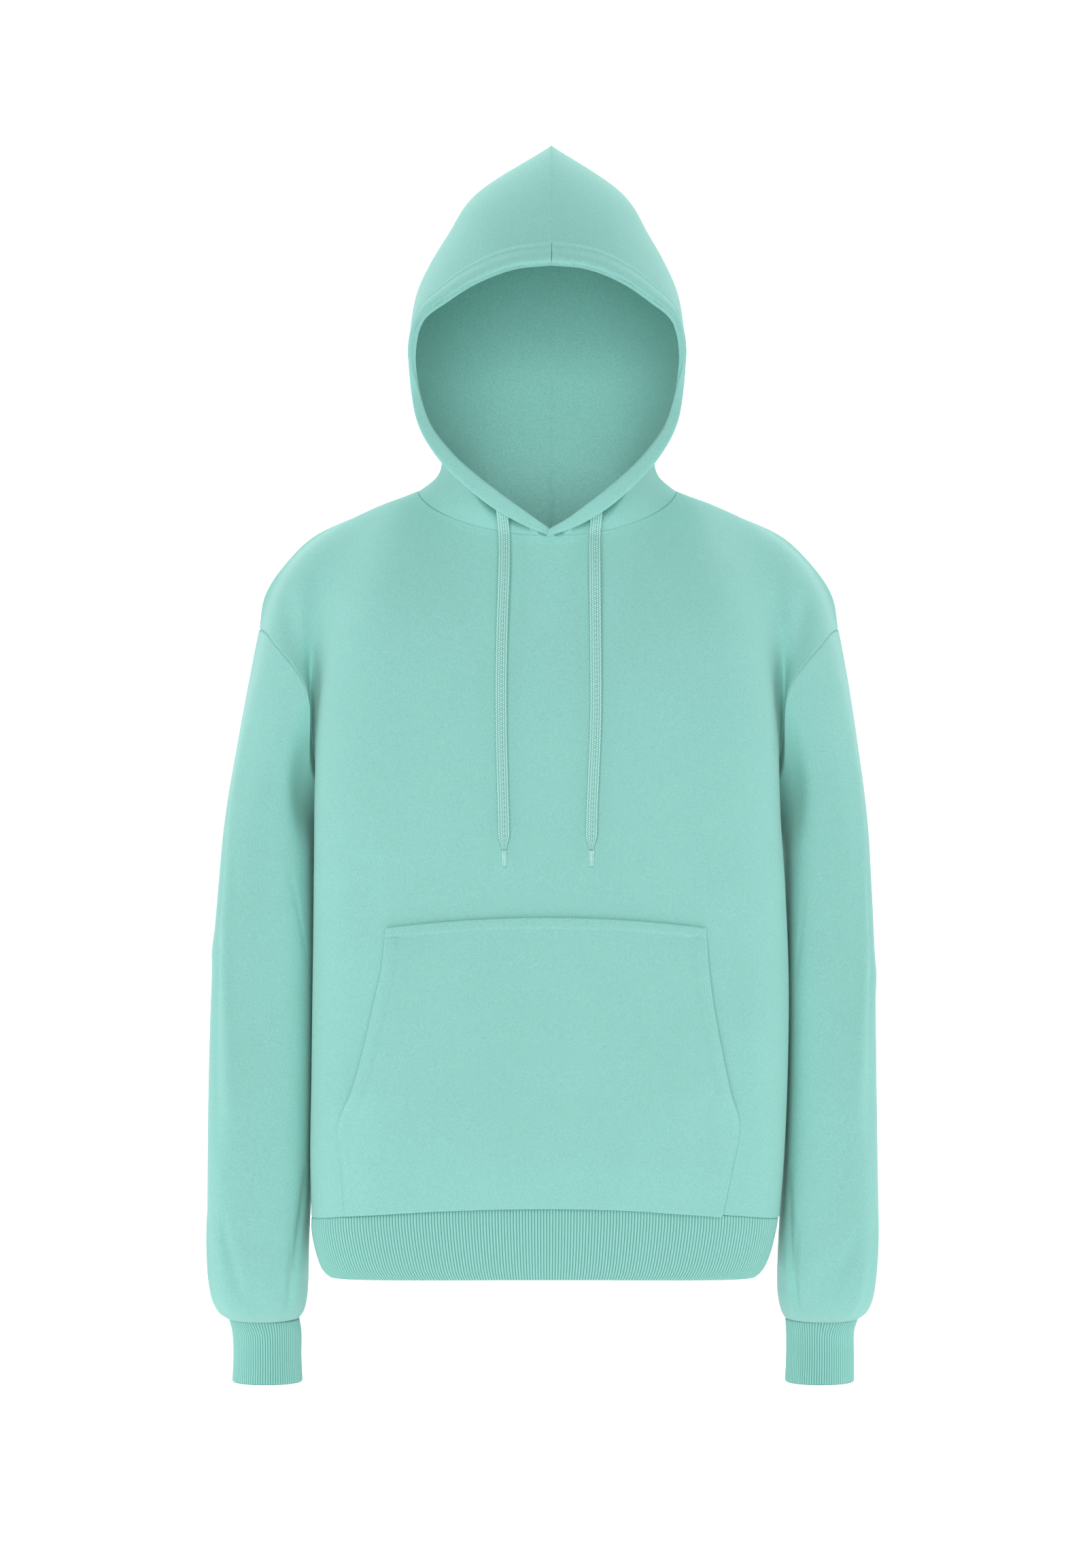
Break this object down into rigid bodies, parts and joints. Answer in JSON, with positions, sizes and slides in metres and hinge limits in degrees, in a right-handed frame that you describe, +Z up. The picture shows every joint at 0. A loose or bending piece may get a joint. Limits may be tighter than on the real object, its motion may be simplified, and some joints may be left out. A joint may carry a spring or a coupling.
{
  "type": "pullover hoodie",
  "caption": "Pullover hoodie in brushed fleece, filled out as if worn, with a raised hood, flat drawcord, kangaroo pocket, and ribbed hem and cuffs.",
  "frame": {"origin": "middle of the neck opening, level with the highest point of the shoulders, where the wearer's shoulders carry the garment", "axes": "+X to the right as seen from the front, -Y out of the front, +Z up"},
  "size_m": [0.5863, 0.2923, 1.092],
  "materials": {
    "fleece": "matte brushed fleece, mint green",
    "rib": "matte rib knit, mint green",
    "tape": "matte flat braid, mint green",
    "aglet": "clear shrink tube over the tape's end"
  },
  "bodies": {
    "root": {"front": "fleece", "back": "fleece", "pocket": "fleece", "hem_rib": "rib", "sleeve_left": "fleece", "cuff_left": "rib", "hood_left": "fleece", "sleeve_right": "fleece", "cuff_right": "rib", "hood_right": "fleece", "drawcord_left": "tape", "aglet_left": "aglet", "drawcord_right": "tape", "aglet_right": "aglet"}
  },
  "joints": []
}
